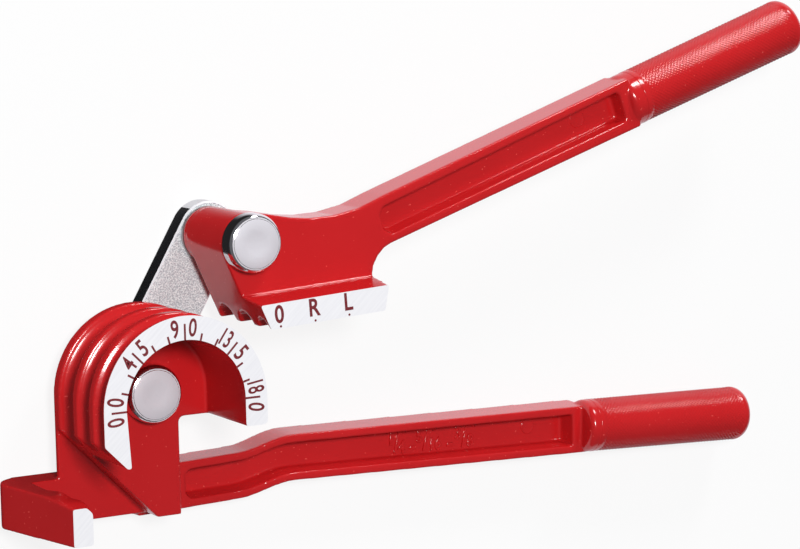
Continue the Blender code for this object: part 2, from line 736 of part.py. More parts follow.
def rivet(name, seat, place, material):
    """A rivet: bevelled head on a seat, shank through the stack, flat peened tail."""
    base = seat + GAP
    profile = [
        (0, base + RIVET_HEAD_HEIGHT),
        (RIVET_FACE_RADIUS, base + RIVET_HEAD_HEIGHT),
    ]
    for across, along in arc((0, 0), 1.0, 70, 0, CORNER_STEPS):
        profile.append((
            RIVET_FACE_RADIUS + (RIVET_HEAD_RADIUS - RIVET_FACE_RADIUS) * across,
            base + RIVET_HEAD_HEIGHT - RIVET_EDGE_DROP + RIVET_EDGE_DROP * along,
        ))
    profile += [
        (RIVET_HEAD_RADIUS, base),
        (RIVET_SHANK_RADIUS, base),
        (RIVET_SHANK_RADIUS, TAIL_THICKNESS),
        (RIVET_TAIL_RADIUS, TAIL_THICKNESS),
        (RIVET_TAIL_RADIUS, 0),
        (0, 0),
    ]
    solid = turned(name, profile)
    return finish(solid, name, material, Matrix.Translation((place[0], place[1], 0)))


def washer(name, place, material):
    """A thin washer between the link and a casting."""
    solid = turned(name, [
        (0, WASHER_FRONT),
        (WASHER_RADIUS, WASHER_FRONT),
        (WASHER_RADIUS, WASHER_BACK),
        (0, WASHER_BACK),
    ])
    solid = cut(solid, rod("washer_hole", HOLE_RADIUS, (0, 0, 0), (0, 0, TOOL_DEPTH)))
    return finish(solid, name, material, Matrix.Translation((place[0], place[1], 0)))


RED_ENAMEL = make_material("red_enamel", (0.62, 0.02, 0.02), 0.22, 0.0)
RED_ENAMEL_LEVER = make_material("red_enamel_lever", (0.62, 0.02, 0.02), 0.22, 0.0)
ZINC_STEEL = make_material("zinc_plated_steel", (0.66, 0.66, 0.68), 0.35, 1.0)
RIVET_STEEL = make_material("rivet_steel", (0.75, 0.75, 0.78), 0.25, 1.0)
RIVET_STEEL_LEVER = make_material("rivet_steel_lever", (0.75, 0.75, 0.78), 0.25, 1.0)
WASHER_STEEL = make_material("washer_steel", (0.45, 0.45, 0.46), 0.4, 1.0)
WASHER_STEEL_LEVER = make_material("washer_steel_lever", (0.45, 0.45, 0.46), 0.4, 1.0)

shoe_turn = Matrix.Translation(LEVER_PIVOT) @ Matrix.Rotation(math.radians(SHOE_REST_ANGLE), 4, "Z")
link_turn = Matrix.Rotation(math.radians(LINK_REST_ANGLE), 4, "Z")

lower_casting(RED_ENAMEL)
upper_casting(RED_ENAMEL_LEVER, shoe_turn)
link_plate(ZINC_STEEL, link_turn)
rivet("die_pivot_rivet", WEB_FRONT, (0, 0), RIVET_STEEL)
rivet("lever_pivot_rivet", PLATE_FRONT, LEVER_PIVOT, RIVET_STEEL_LEVER)
washer("die_pivot_washer", (0, 0), WASHER_STEEL)
washer("lever_pivot_washer", LEVER_PIVOT, WASHER_STEEL_LEVER)

for part in PARTS.objects:
    print(part.name, len(part.data.polygons), "faces")
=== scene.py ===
# %% [markdown]
# # Dressing a three-size tube bender
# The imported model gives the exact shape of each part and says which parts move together.
# This lesson turns its two handles into red enamelled castings with milled faces, knurls their
# grips, engraves the scales, and polishes the link and the rivets.

# %% Load the model
import math

import bmesh
import bpy
from mathutils import Matrix, Vector


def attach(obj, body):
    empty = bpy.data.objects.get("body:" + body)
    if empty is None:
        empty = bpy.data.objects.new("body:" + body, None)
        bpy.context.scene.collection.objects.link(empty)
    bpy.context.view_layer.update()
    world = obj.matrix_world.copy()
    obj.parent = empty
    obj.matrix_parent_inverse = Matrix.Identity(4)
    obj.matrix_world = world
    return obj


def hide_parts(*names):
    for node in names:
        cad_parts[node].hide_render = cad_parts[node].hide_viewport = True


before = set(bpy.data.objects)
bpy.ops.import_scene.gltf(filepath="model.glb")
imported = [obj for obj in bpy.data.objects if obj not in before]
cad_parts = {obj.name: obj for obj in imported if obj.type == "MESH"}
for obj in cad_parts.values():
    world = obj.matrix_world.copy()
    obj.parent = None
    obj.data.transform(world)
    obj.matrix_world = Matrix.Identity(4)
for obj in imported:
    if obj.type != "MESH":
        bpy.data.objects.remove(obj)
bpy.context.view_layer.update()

# %% Sizes shared by the steps below, in metres
MILLED_LEVEL = 0.0448
RING_INNER = 0.0185
LEVER_PIVOT = Vector((0.02568, 0.04325, 0))
SHOE_TURN = math.radians(3.5)
ARM_BEND = math.radians(15.2)
ARM_TURN = SHOE_TURN + ARM_BEND
LINK_TURN = math.radians(59.3)
LEVER_PLACE = Matrix.Translation(LEVER_PIVOT) @ Matrix.Rotation(SHOE_TURN, 4, "Z")
print("lever pivot at", LEVER_PIVOT[:])

# %% [markdown]
# ## The camera
# The photograph looks down on the machined faces from the left. The camera's place and its
# three directions were solved from the round die, whose front face shows as an ellipse.

# %% Camera
eye = Vector((-0.30898, 0.12948, 0.69840))
swing = -0.5254737
tilt = 0.1292334
roll = -0.0192516
flat_share = math.cos(tilt)
backwards = Vector((math.sin(swing) * flat_share, math.sin(tilt), math.cos(swing) * flat_share))
level_right = Vector((math.cos(swing), 0, -math.sin(swing)))
level_up = backwards.cross(level_right)
right = level_right * math.cos(roll) + level_up * math.sin(roll)
up = level_up * math.cos(roll) - level_right * math.sin(roll)
camera_data = bpy.data.cameras.new("photo_camera")
camera_data.lens = 117
camera_data.sensor_width = 36
camera_data.clip_end = 20
camera = bpy.data.objects.new("photo_camera", camera_data)
facing = Matrix((right, up, backwards)).transposed().to_4x4()
camera.matrix_world = Matrix.Translation(eye) @ facing
bpy.context.scene.collection.objects.link(camera)
bpy.context.scene.camera = camera
print("camera looks along", [round(value, 3) for value in -backwards])

# %% [markdown]
# ## Light and floor
# The tool lies on its back on a white table. Two soft lamps light it, and polished steel needs
# something dark to reflect, so the room around the table is kept dim. For reflected rays the table
# shows a painted reflection, a glow that is dark at the left and bright to the right.

# %% World
scene = bpy.context.scene
scene.view_settings.view_transform = "Standard"
world = bpy.data.worlds.new("studio")
world.use_nodes = True
scene.world = world
nodes = world.node_tree.nodes
links = world.node_tree.links
room = nodes["Background"]
room.inputs["Color"].default_value = (0.13, 0.13, 0.14, 1)
page = nodes.new("ShaderNodeBackground")
page.inputs["Color"].default_value = (1, 1, 1, 1)
seen = nodes.new("ShaderNodeLightPath")
choose = nodes.new("ShaderNodeMixShader")
links.new(seen.outputs["Is Camera Ray"], choose.inputs["Fac"])
links.new(room.outputs["Background"], choose.inputs[1])
links.new(page.outputs["Background"], choose.inputs[2])
links.new(choose.outputs["Shader"], nodes["World Output"].inputs["Surface"])

# %% Floor
TABLE_LEVEL = -0.0002
EVEN_WHITE_SHARE = 0.86
bpy.ops.mesh.primitive_plane_add(size=6, location=(0, 0, TABLE_LEVEL))
floor = bpy.context.object
floor.name = "table"
paper = bpy.data.materials.new("white_table")
paper.use_nodes = True
nodes = paper.node_tree.nodes
links = paper.node_tree.links
matt = nodes["Principled BSDF"]
matt.inputs["Base Color"].default_value = (0.9, 0.9, 0.9, 1)
matt.inputs["Roughness"].default_value = 0.9
matt.inputs["Specular IOR Level"].default_value = 0.1
seen = nodes.new("ShaderNodeLightPath")
glow = nodes.new("ShaderNodeEmission")
glow.inputs["Color"].default_value = (1, 1, 1, 1)
glow.inputs["Strength"].default_value = 1.0
share = nodes.new("ShaderNodeMath")
share.operation = "MULTIPLY"
share.inputs[1].default_value = EVEN_WHITE_SHARE
white = nodes.new("ShaderNodeMixShader")
links.new(seen.outputs["Is Camera Ray"], share.inputs[0])
links.new(share.outputs["Value"], white.inputs["Fac"])
links.new(matt.outputs["BSDF"], white.inputs[1])
links.new(glow.outputs["Emission"], white.inputs[2])
print("the floor keeps a share of its shading, so the shadow stays")

# %% The table's painted reflection: a glow that only reflected rays see, dark at the left
REFLECTION_GLOW_SLANT = -0.35
REFLECTION_GLOW_EDGE = (-0.005, 0.03)
REFLECTION_GLOW_STRENGTH = (0.02, 1.0)
place = nodes.new("ShaderNodeTexCoord")
sides = nodes.new("ShaderNodeSeparateXYZ")
links.new(place.outputs["Object"], sides.inputs["Vector"])
slant = nodes.new("ShaderNodeMath")
slant.operation = "MULTIPLY_ADD"
slant.inputs[1].default_value = REFLECTION_GLOW_SLANT
links.new(sides.outputs["Y"], slant.inputs[0])
links.new(sides.outputs["X"], slant.inputs[2])
# Painted reflection: this ramp sets how strongly the table glows for glossy rays, from dark at the left to
# bright at the right.
reflection_glow_ramp = nodes.new("ShaderNodeMapRange")
reflection_glow_ramp.interpolation_type = "SMOOTHSTEP"
reflection_glow_ramp.inputs["From Min"].default_value, reflection_glow_ramp.inputs["From Max"].default_value = REFLECTION_GLOW_EDGE
reflection_glow_ramp.inputs["To Min"].default_value, reflection_glow_ramp.inputs["To Max"].default_value = REFLECTION_GLOW_STRENGTH
links.new(slant.outputs["Value"], reflection_glow_ramp.inputs["Value"])
painted_reflection_glow = nodes.new("ShaderNodeEmission")
painted_reflection_glow.inputs["Color"].default_value = (1, 0.94, 1, 1)
links.new(reflection_glow_ramp.outputs["Result"], painted_reflection_glow.inputs["Strength"])
split = nodes.new("ShaderNodeMixShader")
links.new(seen.outputs["Is Glossy Ray"], split.inputs["Fac"])
links.new(white.outputs["Shader"], split.inputs[1])
links.new(painted_reflection_glow.outputs["Emission"], split.inputs[2])
links.new(split.outputs["Shader"], nodes["Material Output"].inputs["Surface"])
floor.data.materials.append(paper)
print("the mirror image goes from dark to bright between x =", REFLECTION_GLOW_EDGE)


# %% Lamps
def softbox(name, place, power, size, aim=(0.06, 0, 0.02)):
    """A square area lamp that points at the tool."""
    lamp = bpy.data.lights.new(name, "AREA")
    lamp.energy = power
    lamp.size = size
    holder = bpy.data.objects.new(name, lamp)
    towards = Vector(aim) - Vector(place)
    turn = towards.to_track_quat("-Z", "Y").to_matrix().to_4x4()
    holder.matrix_world = Matrix.Translation(place) @ turn
    scene.collection.objects.link(holder)


softbox("front", (-0.3, 0.4, 1.4), 16.0, 0.3)
softbox("overhead", (0.48, 0.96, 0.44), 5.0, 0.25)

# %% [markdown]
# ## Shader groups
# Two kinds of fine relief are shared by several materials. Each is a node group that puts out
# only masks and normals, so that every material keeps its own shader.


# %% A helper for node groups
def shader_group(name, inputs, outputs):
    """An empty shader group with float inputs, given outputs, and its two end nodes."""
    group = bpy.data.node_groups.new(name, "ShaderNodeTree")
    for label, value in inputs:
        socket = group.interface.new_socket(label, in_out="INPUT", socket_type="NodeSocketFloat")
        socket.default_value = value
    for label, kind in outputs:
        group.interface.new_socket(label, in_out="OUTPUT", socket_type=kind)
    entry = group.nodes.new("NodeGroupInput")
    leaving = group.nodes.new("NodeGroupOutput")
    return group, entry, leaving


# %% Orange peel: the slow waves of sprayed enamel, with a few dust specks
peel_group, entry, leaving = shader_group(
    "orange_peel",
    [("Peel Scale", 260.0), ("Peel Depth", 0.05), ("Speck Scale", 1300.0), ("Speck Edge", 0.825)],
    [("Specks", "NodeSocketFloat"), ("Cloud", "NodeSocketFloat"), ("Normal", "NodeSocketVector")],
)
nodes = peel_group.nodes
links = peel_group.links
place = nodes.new("ShaderNodeTexCoord")
waves = nodes.new("ShaderNodeTexNoise")
waves.inputs["Detail"].default_value = 1.0
links.new(place.outputs["Object"], waves.inputs["Vector"])
links.new(entry.outputs["Peel Scale"], waves.inputs["Scale"])
bump = nodes.new("ShaderNodeBump")
bump.inputs["Distance"].default_value = 0.0006
links.new(entry.outputs["Peel Depth"], bump.inputs["Strength"])
links.new(waves.outputs["Fac"], bump.inputs["Height"])
dust = nodes.new("ShaderNodeTexNoise")
dust.inputs["Detail"].default_value = 0.0
links.new(place.outputs["Object"], dust.inputs["Vector"])
links.new(entry.outputs["Speck Scale"], dust.inputs["Scale"])
above = nodes.new("ShaderNodeMath")
above.operation = "GREATER_THAN"
links.new(dust.outputs["Fac"], above.inputs[0])
links.new(entry.outputs["Speck Edge"], above.inputs[1])
cloud = nodes.new("ShaderNodeTexNoise")
cloud.inputs["Scale"].default_value = 38.0
cloud.inputs["Detail"].default_value = 2.0
links.new(place.outputs["Object"], cloud.inputs["Vector"])
links.new(above.outputs["Value"], leaving.inputs["Specks"])
links.new(cloud.outputs["Fac"], leaving.inputs["Cloud"])
links.new(bump.outputs["Normal"], leaving.inputs["Normal"])
print("group:", peel_group.name)

# %% Tool marks: fine lines that a cutter or a belt leaves, at a chosen slant
marks_group, entry, leaving = shader_group(
    "tool_marks",
    [("Slant", 0.6), ("Fineness", 900.0), ("Depth", 0.1)],
    [("Lines", "NodeSocketFloat"), ("Normal", "NodeSocketVector")],
)
nodes = marks_group.nodes
links = marks_group.links
place = nodes.new("ShaderNodeTexCoord")
turn = nodes.new("ShaderNodeVectorRotate")
turn.rotation_type = "Z_AXIS"
links.new(place.outputs["Object"], turn.inputs["Vector"])
links.new(entry.outputs["Slant"], turn.inputs["Angle"])
stretch = nodes.new("ShaderNodeMapping")
stretch.inputs["Scale"].default_value = (0.06, 1.0, 1.0)
links.new(turn.outputs["Vector"], stretch.inputs["Vector"])
lines = nodes.new("ShaderNodeTexNoise")
lines.inputs["Detail"].default_value = 3.0
links.new(stretch.outputs["Vector"], lines.inputs["Vector"])
links.new(entry.outputs["Fineness"], lines.inputs["Scale"])
bump = nodes.new("ShaderNodeBump")
bump.inputs["Distance"].default_value = 0.0002
links.new(entry.outputs["Depth"], bump.inputs["Strength"])
links.new(lines.outputs["Fac"], bump.inputs["Height"])
links.new(lines.outputs["Fac"], leaving.inputs["Lines"])
links.new(bump.outputs["Normal"], leaving.inputs["Normal"])
print("group:", marks_group.name)

# %% [markdown]
# ## Materials
# Red enamel covers both castings. Where the mill has cut them, the bare light metal shows, with
# slanting cutter marks. The steel parts are plated; the link's front stays grainy from blanking.


# %% Helpers for materials
def new_material(name, roughness, metallic=0.0, colour=None):
    """A material with its shader; the colour is given where it is a plain one."""
    material = bpy.data.materials.new(name)
    material.use_nodes = True
    shader = material.node_tree.nodes["Principled BSDF"]
    shader.inputs["Roughness"].default_value = roughness
    shader.inputs["Metallic"].default_value = metallic
    if colour:
        shader.inputs["Base Color"].default_value = (*colour, 1)
    return material


def add_relief(material, group, **values):
    """A shader group inside a material, with its own values, that gives the shader its normal."""
    tree = material.node_tree
    node = tree.nodes.new("ShaderNodeGroup")
    node.node_tree = group
    for label, value in values.items():
        node.inputs[label.replace("_", " ")].default_value = value
    tree.links.new(node.outputs["Normal"], tree.nodes["Principled BSDF"].inputs["Normal"])
    return node


def blend_colours(material, mask, first, second):
    """A mix of two colours by a mask, wired to the shader's base colour."""
    tree = material.node_tree
    mixer = tree.nodes.new("ShaderNodeMix")
    mixer.data_type = "RGBA"
    mixer.inputs["A"].default_value = (*first, 1)
    mixer.inputs["B"].default_value = (*second, 1)
    tree.links.new(mask, mixer.inputs["Factor"])
    tree.links.new(mixer.outputs["Result"], tree.nodes["Principled BSDF"].inputs["Base Color"])
    return mixer


# %% Red enamel, glossy, with a few lighter dust specks
enamel = new_material("red_enamel", 0.17)
nodes = enamel.node_tree.nodes
links = enamel.node_tree.links
nodes["Principled BSDF"].inputs["Specular IOR Level"].default_value = 0.55
skin = add_relief(enamel, peel_group, Peel_Depth=0.035)
base = blend_colours(enamel, skin.outputs["Cloud"], (0.54, 0.010, 0.012), (0.62, 0.016, 0.019))
speckled = nodes.new("ShaderNodeMix")
speckled.data_type = "RGBA"
speckled.inputs["B"].default_value = (0.8, 0.08, 0.07, 1)
links.new(skin.outputs["Specks"], speckled.inputs["Factor"])
links.new(base.outputs["Result"], speckled.inputs["A"])
links.new(speckled.outputs["Result"], nodes["Principled BSDF"].inputs["Base Color"])
print("material:", enamel.name)

# %% Bare milled metal, and the dark red left in the engraving
milled = new_material("milled_metal", 0.5)
marks = add_relief(milled, marks_group, Slant=-0.75, Fineness=1500.0, Depth=0.3)
blend_colours(milled, marks.outputs["Lines"], (0.84, 0.84, 0.88), (0.97, 0.97, 0.99))

engraving = new_material("engraving_paint", 0.5)
pits = add_relief(engraving, peel_group, Peel_Scale=1500.0, Peel_Depth=0.4)
blend_colours(engraving, pits.outputs["Cloud"], (0.12, 0.008, 0.012), (0.26, 0.02, 0.028))
print("materials:", milled.name, engraving.name)

# %% The link's grainy face
link_face = new_material("link_face", 0.42, 0.1)
nodes = link_face.node_tree.nodes
links = link_face.node_tree.links
place = nodes.new("ShaderNodeTexCoord")
grain = nodes.new("ShaderNodeTexNoise")
grain.inputs["Scale"].default_value = 2600.0
grain.inputs["Detail"].default_value = 2.0
links.new(place.outputs["Object"], grain.inputs["Vector"])
contrast = nodes.new("ShaderNodeMapRange")
contrast.inputs["From Min"].default_value = 0.35
contrast.inputs["From Max"].default_value = 0.65
links.new(grain.outputs["Fac"], contrast.inputs["Value"])
blend_colours(link_face, contrast.outputs["Result"], (0.42, 0.46, 0.50), (0.94, 1.0, 1.0))
bump = nodes.new("ShaderNodeBump")
bump.inputs["Strength"].default_value = 0.35
bump.inputs["Distance"].default_value = 0.0002
links.new(grain.outputs["Fac"], bump.inputs["Height"])
links.new(bump.outputs["Normal"], nodes["Principled BSDF"].inputs["Normal"])
print("material:", link_face.name)

# %% The link's edge: near black as a painted dark reflection, and bright for the broken corner and, as a painted highlight, for faces turned away from the left
link_side = new_material("link_side", 0.2, colour=(0.012, 0.013, 0.015))
add_relief(link_side, marks_group, Slant=1.2, Fineness=500.0, Depth=0.05)
bright = new_material("bright_corner", 0.3, 0.1, colour=(0.86, 0.87, 0.90))
add_relief(bright, marks_group, Slant=0.3, Fineness=500.0, Depth=0.05)
print("materials:", link_side.name, bright.name)

# %% Polished and satin rivet steel, and duller steel for the washers
polished = new_material("polished_rivet", 0.12, 1.0, colour=(0.82, 0.82, 0.84))
add_relief(polished, marks_group, Slant=0.0, Fineness=300.0, Depth=0.03)
satin = new_material("satin_rivet_face", 0.45)
skin = add_relief(satin, peel_group, Peel_Scale=900.0, Peel_Depth=0.06)
blend_colours(satin, skin.outputs["Cloud"], (0.60, 0.58, 0.62), (0.78, 0.76, 0.81))
dull = new_material("washer_steel", 0.4, 1.0, colour=(0.5, 0.5, 0.51))
add_relief(dull, marks_group, Slant=0.5, Fineness=800.0, Depth=0.2)
print("materials:", polished.name, satin.name, dull.name)

# %% [markdown]
# ## The castings: cast first, milled after
# A die casting has soft corners, and a milled face has crisp ones. So the model's exact solid is
# first stretched a little above the milling plane, remeshed into small even faces, and smoothed,
# which rounds every corner inside and out. Between the two it is drawn back onto the exact
# solid, so that long edges stay straight, and flat areas are thinned out afterwards. Then it is
# cut flat at the milling plane, as a cutter does. The grips beyond their collars are cut away
# and made in the next step.


# %% Helpers for meshes
def add_object(name, mesh):
    """A new object at the origin that shows a mesh."""
    made = bpy.data.objects.new(name, mesh)
    scene.collection.objects.link(made)
    return made


def settled_mesh(made, name):
    """The plain mesh of an object after its modifiers; the object is removed."""
    bpy.context.view_layer.update()
    graph = bpy.context.evaluated_depsgraph_get()
    mesh = bpy.data.meshes.new_from_object(made.evaluated_get(graph))
    mesh.name = name
    bpy.data.objects.remove(made, do_unlink=True)
    return mesh


def cut_away(shape, place, direction, material_index=0):
    """Cuts off what lies beyond a plane, and closes the cut with flat, sharp-edged faces."""
    everything = shape.verts[:] + shape.edges[:] + shape.faces[:]
    bmesh.ops.bisect_plane(
        shape, geom=everything, plane_co=place, plane_no=direction, clear_outer=True
    )
    rims = [edge for edge in shape.edges if edge.is_boundary]
    filled = bmesh.ops.edgeloop_fill(shape, edges=rims)["faces"]
    for face in filled:
        face.material_index = material_index
        face.smooth = False
    for edge in rims:
        edge.smooth = False
    return filled


# %% Cast and mill
MILLING_ALLOWANCE = 0.0012
LEVEL_TOLERANCE = 0.0001
MERGE_DISTANCE = 0.000001
CAST_GRAIN = 0.0004
SOFTENING_ROUNDS = 10
KEPT_SHARE = 0.5


def casting(name, node, grip_start, grip_direction):
    """One enamelled casting with its milled faces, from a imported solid."""
    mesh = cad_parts[node].data.copy()
    shape = bmesh.new()
    shape.from_mesh(mesh)
    bmesh.ops.remove_doubles(shape, verts=shape.verts, dist=MERGE_DISTANCE)
    for vertex in shape.verts:
        if vertex.co.z > MILLED_LEVEL - LEVEL_TOLERANCE:
            vertex.co.z += MILLING_ALLOWANCE
    cut_away(shape, grip_start, grip_direction)
    shape.to_mesh(mesh)
    shape.free()
    exact = add_object(name + "_exact", mesh.copy())
    rough = add_object(name, mesh)
    remesh = rough.modifiers.new("grain", "REMESH")
    remesh.mode = "VOXEL"
    remesh.voxel_size = CAST_GRAIN
    draw_back = rough.modifiers.new("draw_back", "SHRINKWRAP")
    draw_back.target = exact
    draw_back.wrap_method = "NEAREST_SURFACEPOINT"
    soften = rough.modifiers.new("soften", "SMOOTH")
    soften.factor = 0.5
    soften.iterations = SOFTENING_ROUNDS
    thin = rough.modifiers.new("thin", "DECIMATE")
    thin.ratio = KEPT_SHARE
    mesh = settled_mesh(rough, name)
    bpy.data.objects.remove(exact, do_unlink=True)
    mesh.materials.clear()
    mesh.materials.append(enamel)
    mesh.materials.append(milled)
    mesh.shade_smooth()
    shape = bmesh.new()
    shape.from_mesh(mesh)
    faces = cut_away(shape, (0, 0, MILLED_LEVEL), (0, 0, 1), 1)
    shape.to_mesh(mesh)
    shape.free()
    print(name, len(mesh.polygons), "faces,", len(faces), "milled")
    return add_object(name, mesh)


# %% The lower casting
COLLAR_LENGTH = 0.0045
lower_grip_turn = -math.radians(2.3)
lower_grip_start = Vector((0.1565, -0.02899, 0.0091))
lower_direction = Vector((math.cos(lower_grip_turn), math.sin(lower_grip_turn), 0))
lower_cast = casting(
    "lower_cast_body", "lower_casting", lower_grip_start + lower_direction * COLLAR_LENGTH,
    lower_direction,
)

# %% The upper casting
UPPER_COLLAR = 0.0060
UPPER_GRIP_START = 0.1377
ARM_OFFSET = 0.0124
ARM_RISE = 0.0005
ARM_LEVEL = 0.0282
along_arm = Vector((math.cos(ARM_BEND), math.sin(ARM_BEND), 0))
across_arm = Vector((-along_arm.y, along_arm.x, 0))
local_start = along_arm * UPPER_GRIP_START - across_arm * ARM_OFFSET + Vector((0, ARM_RISE, ARM_LEVEL))
upper_grip_start = LEVER_PLACE @ local_start
upper_direction = Vector((math.cos(ARM_TURN), math.sin(ARM_TURN), 0))
upper_cast = casting(
    "upper_cast_body", "upper_casting", upper_grip_start + upper_direction * UPPER_COLLAR,
    upper_direction,
)

# %% [markdown]
# ## The knurled grips
# A roller presses two sets of slanting grooves into each grip. The grip is turned from a profile,
# and a geometry tree then pushes its points in along both sets, fading out at the collar and at
# the rounded end. Four points to each groove keep the diamonds even.


# %% Helpers for geometry trees
def geometry_tree(name, inputs):
    """An empty geometry tree with given inputs, and its two end nodes."""
    tree = bpy.data.node_groups.new(name, "GeometryNodeTree")
    for label, kind, value in inputs:
        socket = tree.interface.new_socket(label, in_out="INPUT", socket_type="NodeSocket" + kind)
        if value is not None:
            socket.default_value = value
    tree.interface.new_socket("Geometry", in_out="OUTPUT", socket_type="NodeSocketGeometry")
    return tree, tree.nodes.new("NodeGroupInput"), tree.nodes.new("NodeGroupOutput")


def math_node(tree, operation, first, second=None):
    """One Math node; each side is a socket or a number."""
    node = tree.nodes.new("ShaderNodeMath")
    node.operation = operation
    for slot_number, value in enumerate((first, second)):
        if value is None:
            continue
        if isinstance(value, (int, float)):
            node.inputs[slot_number].default_value = value
        else:
            tree.links.new(value, node.inputs[slot_number])
    return node.outputs["Value"]


def close_tree(tree, geometry, material, leaving):
    """The end of a tree, which makes its instances real and gives them their material."""
    realize = tree.nodes.new("GeometryNodeRealizeInstances")
    paint = tree.nodes.new("GeometryNodeSetMaterial")
    tree.links.new(geometry, realize.inputs["Geometry"])
    tree.links.new(realize.outputs["Geometry"], paint.inputs["Geometry"])
    tree.links.new(material, paint.inputs["Material"])
    tree.links.new(paint.outputs["Geometry"], leaving.inputs["Geometry"])
    print("tree:", tree.name, len(tree.nodes), "nodes")


def run_tree(made, tree, name, **values):
    """Runs a geometry tree on an object, its inputs given by name, and returns the plain mesh."""
    identifiers = {}
    for item in tree.interface.items_tree:
        if item.item_type == "SOCKET" and item.in_out == "INPUT":
            identifiers[item.name.replace(" ", "_")] = item.identifier
    step = made.modifiers.new("tree", "NODES")
    step.node_group = tree
    for label, value in values.items():
        step[identifiers[label]] = value
    return settled_mesh(made, name)


# %% The knurl tree
knurl, entry, leaving = geometry_tree("knurl", (
    ("Grip", "Geometry", None), ("Waves Around", "Float", None), ("Phase Per Metre", "Float", None),
    ("Depth", "Float", None), ("Start", "Float", None), ("End", "Float", None),
    ("Fade", "Float", None), ("Enamel", "Material", None),
))
where = knurl.nodes.new("GeometryNodeInputPosition")
parts = knurl.nodes.new("ShaderNodeSeparateXYZ")
knurl.links.new(where.outputs["Position"], parts.inputs["Vector"])
around = math_node(knurl, "ARCTAN2", parts.outputs["Y"], parts.outputs["X"])
around = math_node(knurl, "MULTIPLY", around, entry.outputs["Waves Around"])
along = math_node(knurl, "MULTIPLY", parts.outputs["Z"], entry.outputs["Phase Per Metre"])
waves = []
for operation in ("ADD", "SUBTRACT"):
    phase = math_node(knurl, operation, around, along)
    waves.append(math_node(knurl, "ABSOLUTE", math_node(knurl, "SINE", phase)))
groove = math_node(knurl, "SUBTRACT", 1.0, math_node(knurl, "MINIMUM", *waves))
rise = math_node(knurl, "SUBTRACT", parts.outputs["Z"], entry.outputs["Start"])
rise = math_node(knurl, "DIVIDE", rise, entry.outputs["Fade"])
fall = math_node(knurl, "SUBTRACT", entry.outputs["End"], parts.outputs["Z"])
fall = math_node(knurl, "DIVIDE", fall, entry.outputs["Fade"])
fade = math_node(knurl, "MINIMUM", math_node(knurl, "MINIMUM", rise, fall), 1.0)
fade = math_node(knurl, "MAXIMUM", fade, 0.0)
push = math_node(knurl, "MULTIPLY", math_node(knurl, "MULTIPLY", groove, fade), entry.outputs["Depth"])
outward = knurl.nodes.new("GeometryNodeInputNormal")
inward = knurl.nodes.new("ShaderNodeVectorMath")
inward.operation = "SCALE"
knurl.links.new(outward.outputs["Normal"], inward.inputs["Vector"])
knurl.links.new(math_node(knurl, "MULTIPLY", push, -1.0), inward.inputs["Scale"])
press = knurl.nodes.new("GeometryNodeSetPosition")
knurl.links.new(entry.outputs["Grip"], press.inputs["Geometry"])
knurl.links.new(inward.outputs["Vector"], press.inputs["Offset"])
close_tree(knurl, press.outputs["Geometry"], entry.outputs["Enamel"], leaving)


# %% Helpers for turned shapes
def turned_mesh(name, profile, steps):
    """A closed turned mesh about Z from points of radius and height, bottom first."""
    shape = bmesh.new()
    rings = []
    for radius, height in profile:
        if radius == 0:
            rings.append([shape.verts.new((0, 0, height))])
            continue
        ring = []
        for step in range(steps):
            angle = 2 * math.pi * step / steps
            ring.append(shape.verts.new((radius * math.cos(angle), radius * math.sin(angle), height)))
        rings.append(ring)
    for lower, upper in zip(rings, rings[1:]):
        for step in range(steps):
            following = (step + 1) % steps
            corners = [lower[step % len(lower)], lower[following % len(lower)]]
            corners += [upper[following % len(upper)], upper[step % len(upper)]]
            shape.faces.new(list(dict.fromkeys(corners)))
    bmesh.ops.recalc_face_normals(shape, faces=shape.faces)
    mesh = bpy.data.meshes.new(name)
    shape.to_mesh(mesh)
    shape.free()
    mesh.shade_smooth()
    return mesh


def quarter_round(inner, foot, across, tall, steps=12):
    """Points of a profile that rounds a corner, from the side up to the top."""
    angles = [math.radians(90 * step / steps) for step in range(steps + 1)]
    return [(inner + across * math.cos(angle), foot + tall * math.sin(angle)) for angle in angles]


# %% Both grips
KNURL_WAVES = 22
KNURL_DEPTH = 0.0005
KNURL_FADE = 0.0012
KNURL_MARGIN = 0.0004
HIDDEN_FOOT = 0.001
END_ROUND = 0.0034


def grip(name, length, radii, collar, start, direction):
    """A knurled grip from its collar to its rounded end; each wave round it makes two grooves."""
    start_radius, end_radius = radii
    slope = KNURL_WAVES / ((start_radius + end_radius) / 2)
    point_spacing = math.pi / 4 / slope
    straight = length - END_ROUND
    height = collar - HIDDEN_FOOT
    profile = [(0, height)]
    while height < straight:
        share = height / straight
        profile.append((start_radius + (end_radius - start_radius) * share, height))
        height += point_spacing
    profile += quarter_round(end_radius - END_ROUND, straight, END_ROUND, END_ROUND)
    profile.append((0, length))
    plain = add_object(name, turned_mesh(name, profile, KNURL_WAVES * 8))
    mesh = run_tree(
        plain, knurl, name, Waves_Around=float(KNURL_WAVES), Phase_Per_Metre=slope, Depth=KNURL_DEPTH,
        Start=collar + KNURL_MARGIN, End=straight, Fade=KNURL_FADE, Enamel=enamel,
    )
    turn = Matrix(direction.to_track_quat("Z", "Y").to_matrix().to_4x4())
    mesh.transform(Matrix.Translation(start) @ turn)
    made = add_object(name, mesh)
    print(name, len(mesh.polygons), "faces")
    return made


lower_grip = grip(
    "lower_knurled_grip", 0.0648, (0.0085, 0.0089), COLLAR_LENGTH, lower_grip_start, lower_direction,
)
upper_grip = grip(
    "upper_knurled_grip", 0.0706, (0.0087, 0.0091), UPPER_COLLAR, upper_grip_start, upper_direction,
)

# %% [markdown]
# ## The scales
# The die carries a scale of bend angles: long strokes every 45 degrees, short ones every 15.
# A geometry tree sets strokes on an arc. The figures are outlines of plain sans-serif type, laid
# on the milled face as thin dark paint.

